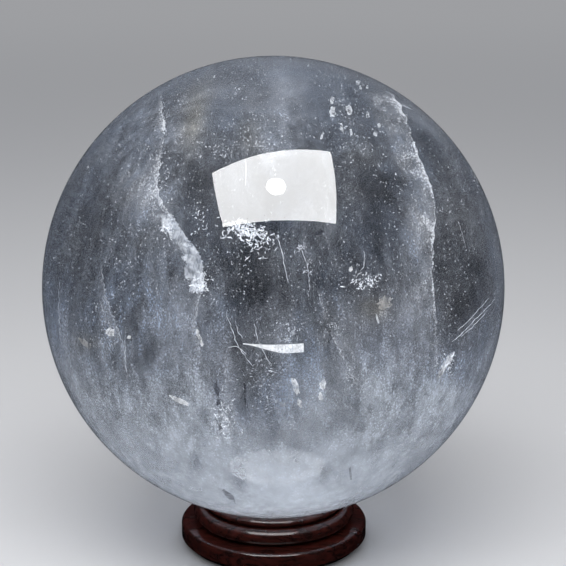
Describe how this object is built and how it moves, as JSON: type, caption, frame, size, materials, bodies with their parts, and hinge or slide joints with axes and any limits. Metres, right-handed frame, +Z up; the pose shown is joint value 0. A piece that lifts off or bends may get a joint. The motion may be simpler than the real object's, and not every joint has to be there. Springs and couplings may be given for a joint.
{
  "type": "crystal ball on turned stand",
  "caption": "Polished rock-crystal ball with natural veils, resting in the felt-lined seat of a low turned wooden ring stand; the ball turns in its seat and lifts off.",
  "frame": {"origin": "centre of the plane that the stand rests on, under the felt disc", "axes": "+Z up through the centre of the ball and the stand; the whole is round about +Z, so +X and +Y are free"},
  "size_m": [0.115, 0.115, 0.1255],
  "materials": {
    "rock_crystal": "polished",
    "lacquered_wood": "gloss",
    "liner_felt": "matte",
    "base_felt": "matte"
  },
  "bodies": {
    "stand": {"seat_cup": "lacquered_wood", "foot_ring": "lacquered_wood", "base_felt": "base_felt"},
    "liner": {"seat_liner": "liner_felt"},
    "ball": {"crystal_ball": "rock_crystal"}
  },
  "joints": [
    {"name": "ball_turn", "type": "hinge", "parent": "stand", "child": "liner", "pos_m": [0, 0, 0.0103], "axis": [0, 0, 1], "continuous": true},
    {"name": "ball_lift", "type": "slide", "parent": "liner", "child": "ball", "axis": [0, 0, 1], "range_m": [0, 0.02]}
  ]
}
